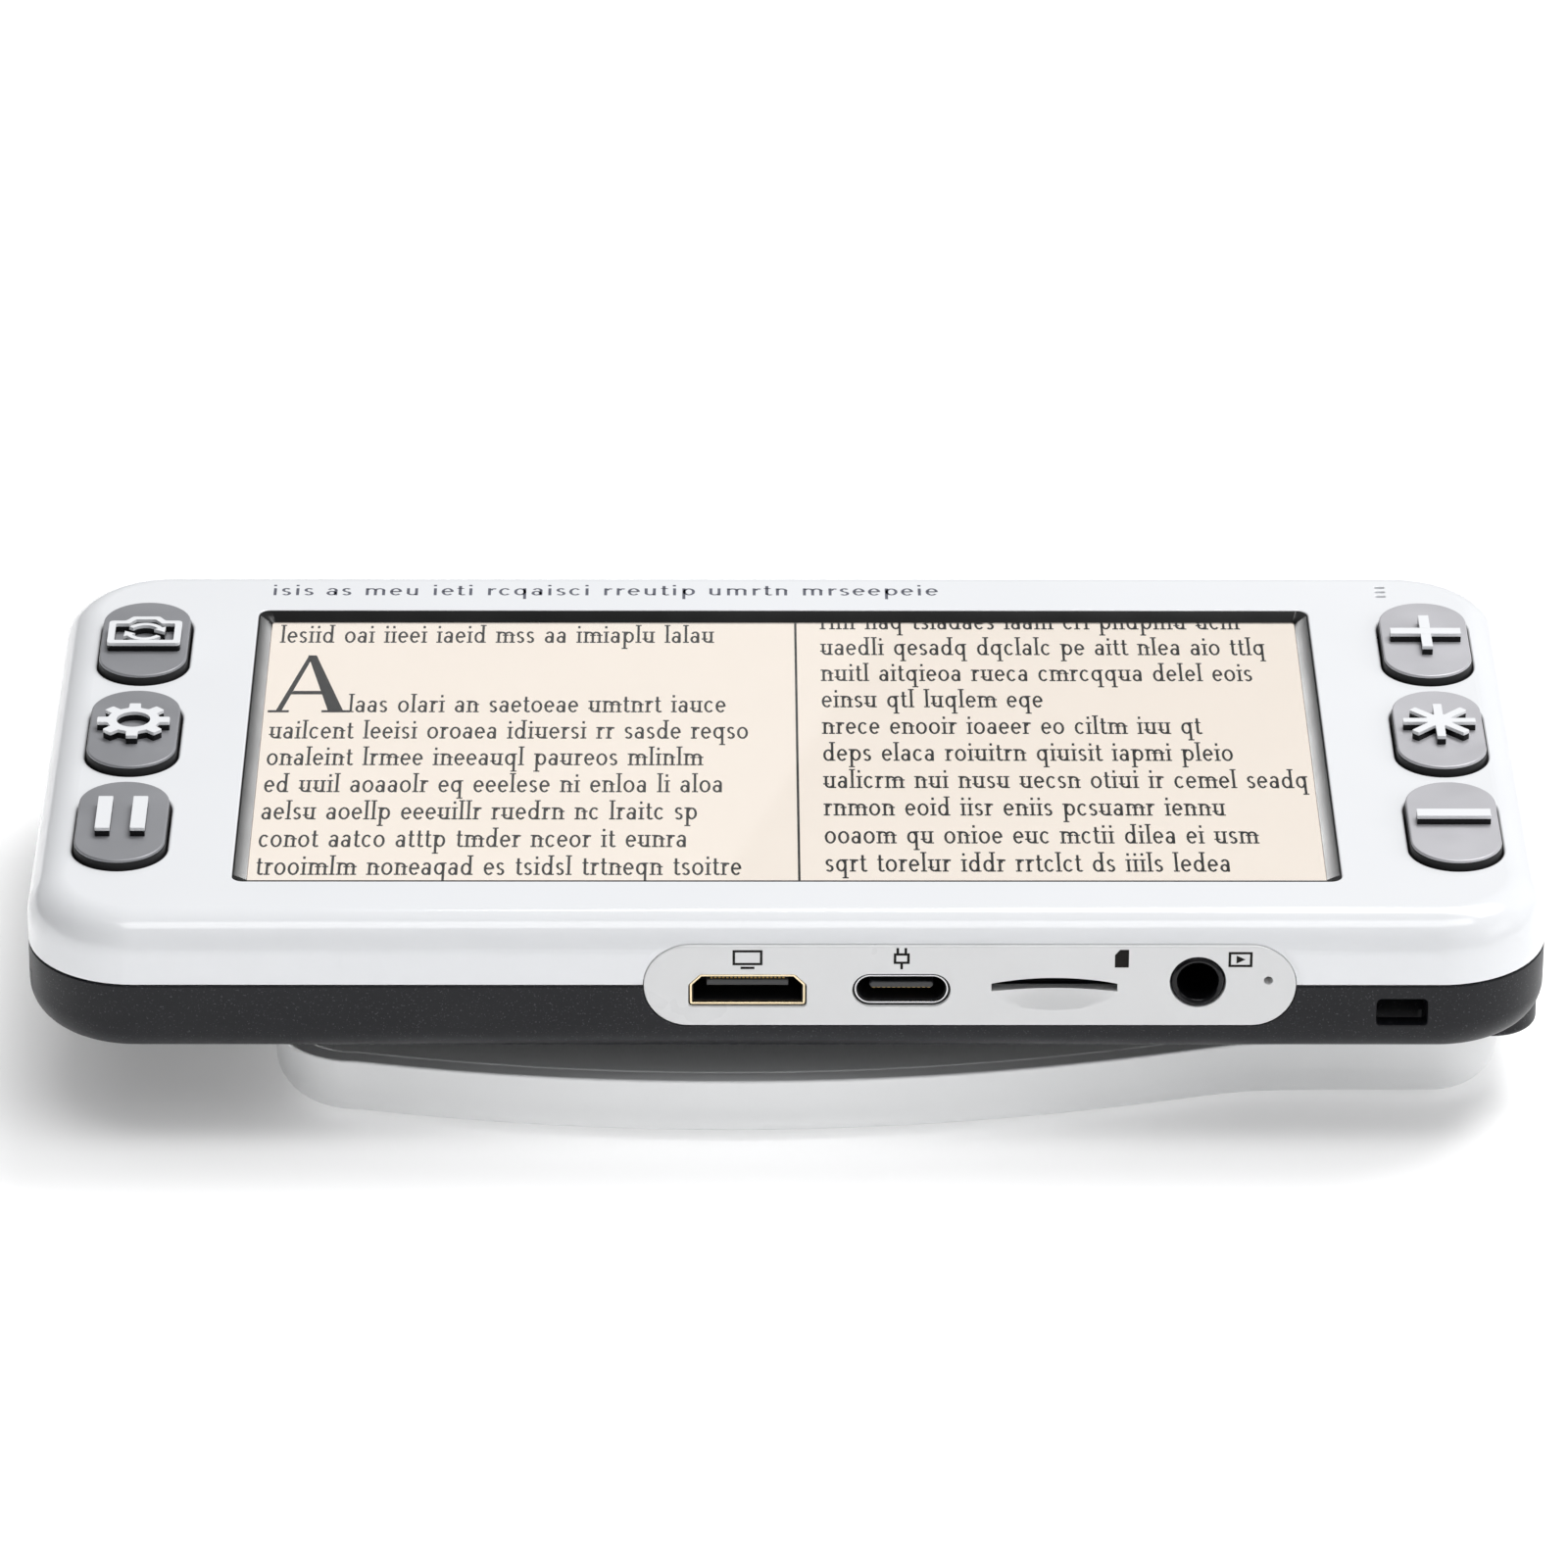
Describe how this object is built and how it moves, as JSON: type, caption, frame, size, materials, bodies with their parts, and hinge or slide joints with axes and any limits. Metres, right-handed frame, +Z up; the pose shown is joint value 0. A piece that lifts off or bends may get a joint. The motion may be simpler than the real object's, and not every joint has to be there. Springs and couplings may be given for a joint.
{
  "type": "low vision magnifier",
  "caption": "Hand-held video magnifier for low vision: a wide screen between two rows of large raised keys, on a flat handle that swings out from under the case.",
  "frame": {"origin": "on the resting plane (the underside of the folded handle), under the middle of the case", "axes": "+X to the user's right along the case, +Y away from the user, +Z up out of the screen"},
  "size_m": [0.1532, 0.0828, 0.0285],
  "materials": {
    "white_gloss": "high gloss white ABS",
    "white_satin": "satin white ABS",
    "black_satin": "satin black ABS, slightly blue",
    "black_gloss": "gloss black",
    "dark_grey": "satin dark grey",
    "screen_cream": "lit display showing black text on cream",
    "clear_glass": "polished clear",
    "lens_glass": "coated lens in a black barrel",
    "light_lens": "frosted clear acrylic",
    "led_yellow": "phosphor coated chip",
    "key_grey": "satin metallic grey paint, light symbol, black skirt",
    "silicone": "moulded silicone",
    "board_green": "solder mask on glass laminate",
    "steel": "plain bright steel",
    "gold_steel": "pale gold flashed steel",
    "foil": "foil pouch"
  },
  "bodies": {
    "case": {"front_shell": "white_gloss", "port_plate": "white_gloss", "rear_shell": "black_satin", "pivot_base": "black_satin", "buzzer": "black_satin", "screen_bezel": "dark_grey", "camera_bezel": "black_gloss", "av_jack": "black_gloss", "cover_glass": "clear_glass", "camera_window": "clear_glass", "camera_lens": "lens_glass", "lcd_panel": "screen_cream", "lcd_tray": "steel", "usb_socket": "steel", "hdmi_socket": "gold_steel", "card_socket": "steel", "reset_switch": "steel", "power_switch": "steel", "pivot_pin": "steel", "pivot_nut": "steel", "wave_washer": "steel", "key_mat_left": "silicone", "key_mat_right": "silicone", "key_board_left": "board_green", "key_board_right": "board_green", "main_board": "board_green", "camera_board": "board_green", "battery": "foil", "light_window_left": "light_lens", "light_window_right": "light_lens", "light_chip_left": "led_yellow", "light_chip_right": "led_yellow", "case_screw_1": "steel", "base_screw_1": "steel", "case_screw_2": "steel", "base_screw_2": "steel", "case_screw_3": "steel", "base_screw_3": "steel", "case_screw_4": "steel", "base_screw_4": "steel"},
    "handle": {"handle_shell": "white_satin", "handle_cover": "white_satin", "handle_screw_1": "steel", "handle_screw_2": "steel"},
    "battery_door": {"battery_door": "black_satin"},
    "snapshot_key": {"snapshot_key": "key_grey"},
    "settings_key": {"settings_key": "key_grey"},
    "freeze_key": {"freeze_key": "key_grey"},
    "zoom_in_key": {"zoom_in_key": "key_grey"},
    "colour_mode_key": {"colour_mode_key": "key_grey"},
    "zoom_out_key": {"zoom_out_key": "key_grey"},
    "power_button": {"power_button": "dark_grey"},
    "reset_plunger": {"reset_plunger": "black_satin"}
  },
  "joints": [
    {"name": "handle_swing", "type": "hinge", "parent": "case", "child": "handle", "pos_m": [0.059, -0.0152, 0], "axis": [0, 0, 1], "range_deg": [0, 180]},
    {"name": "door_slide", "type": "slide", "parent": "case", "child": "battery_door", "axis": [-1, 0, 0], "range_m": [0, 0.05]},
    {"name": "snapshot_key_press", "type": "slide", "parent": "case", "child": "snapshot_key", "axis": [0, 0, -1], "range_m": [0, 0.0006], "stiffness_N_per_m": 500, "springref_m": -0.0004},
    {"name": "settings_key_press", "type": "slide", "parent": "case", "child": "settings_key", "axis": [0, 0, -1], "range_m": [0, 0.0006], "stiffness_N_per_m": 500, "springref_m": -0.0004},
    {"name": "freeze_key_press", "type": "slide", "parent": "case", "child": "freeze_key", "axis": [0, 0, -1], "range_m": [0, 0.0006], "stiffness_N_per_m": 500, "springref_m": -0.0004},
    {"name": "zoom_in_key_press", "type": "slide", "parent": "case", "child": "zoom_in_key", "axis": [0, 0, -1], "range_m": [0, 0.0006], "stiffness_N_per_m": 500, "springref_m": -0.0004},
    {"name": "colour_mode_key_press", "type": "slide", "parent": "case", "child": "colour_mode_key", "axis": [0, 0, -1], "range_m": [0, 0.0006], "stiffness_N_per_m": 500, "springref_m": -0.0004},
    {"name": "zoom_out_key_press", "type": "slide", "parent": "case", "child": "zoom_out_key", "axis": [0, 0, -1], "range_m": [0, 0.0006], "stiffness_N_per_m": 500, "springref_m": -0.0004},
    {"name": "power_press", "type": "slide", "parent": "case", "child": "power_button", "axis": [0, -1, 0], "range_m": [0, 0.0005], "stiffness_N_per_m": 500, "springref_m": -0.0004},
    {"name": "reset_press", "type": "slide", "parent": "case", "child": "reset_plunger", "axis": [0, 1, 0], "range_m": [0, 0.00025], "stiffness_N_per_m": 300, "springref_m": -0.0003}
  ]
}
